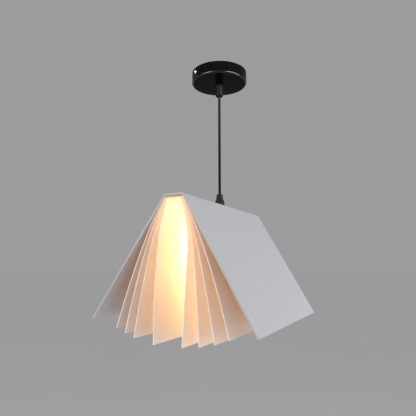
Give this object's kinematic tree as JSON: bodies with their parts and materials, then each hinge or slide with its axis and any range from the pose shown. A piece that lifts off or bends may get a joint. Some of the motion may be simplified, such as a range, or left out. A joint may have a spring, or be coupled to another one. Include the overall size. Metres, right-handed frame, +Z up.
{
  "type": "pendant light",
  "caption": "Pendant light whose shade is an open book hung spine up, with fanned page sheets, a hidden bulb, a straight cord and a round ceiling canopy.",
  "frame": {"origin": "centre of the canopy's ceiling face", "axes": "+Z up to the ceiling, +Y along the shade's spine, +X across it"},
  "size_m": [0.2567, 0.3, 0.4418],
  "materials": {
    "canopy_black": "gloss",
    "bracket_steel": "satin",
    "chrome": "polished",
    "grip_black": "satin",
    "cord_black": "matte",
    "wire_brown": "matte",
    "block_white": "matte",
    "brass": "satin",
    "zinc": "satin",
    "cover_white": "matte",
    "page_white": "matte",
    "holder_black": "satin",
    "ceramic": "glazed",
    "cap_nickel": "satin",
    "insulator": "gloss",
    "bulb_opal": "opal"
  },
  "bodies": {
    "ceiling": {"ceiling_bracket": "bracket_steel", "canopy": "canopy_black", "canopy_side_screws": "chrome", "upper_cord_grip": "grip_black", "upper_grip_nut": "zinc", "upper_grip_lock_screw": "grip_black", "terminal_block": "block_white", "terminal_block_screws": "brass", "cord_in_canopy": "cord_black", "canopy_cores": "wire_brown"},
    "cord": {"hanging_cord": "cord_black"},
    "cord_grip": {"lower_cord_grip": "grip_black", "lower_grip_lock_screw": "grip_black"},
    "shade": {"threaded_rod": "zinc", "top_washer": "zinc", "bottom_washer": "zinc", "clamp_nut": "zinc", "cover_sheet": "cover_white", "page_sheet_1": "page_white", "page_sheet_2": "page_white", "page_sheet_3": "page_white", "page_sheet_4": "page_white", "holder_cap": "holder_black", "holder_body": "holder_black", "holder_insert": "ceramic", "thread_shell": "brass", "centre_contact": "brass", "holder_terminals": "brass", "holder_terminal_screws": "zinc", "cord_in_holder": "cord_black", "holder_cores": "wire_brown"},
    "bulb": {"bulb_contact": "zinc", "bulb_insulator": "insulator", "bulb_cap": "cap_nickel", "bulb_envelope": "bulb_opal"}
  },
  "joints": [
    {"name": "cord_swing", "type": "hinge", "parent": "ceiling", "child": "cord", "pos_m": [0, 0, -0.042], "axis": [0, 1, 0], "range_deg": [-25, 25]},
    {"name": "shade_rock", "type": "hinge", "parent": "cord", "child": "cord_grip", "pos_m": [0, 0, -0.217], "axis": [1, 0, 0], "range_deg": [-20, 20]},
    {"name": "shade_turn", "type": "hinge", "parent": "cord_grip", "child": "shade", "pos_m": [0, 0, -0.237], "axis": [0, 0, 1], "range_deg": [-180, 180]},
    {"name": "bulb_out", "type": "slide", "parent": "shade", "child": "bulb", "axis": [0, 0, -1], "range_m": [0, 0.03]}
  ]
}
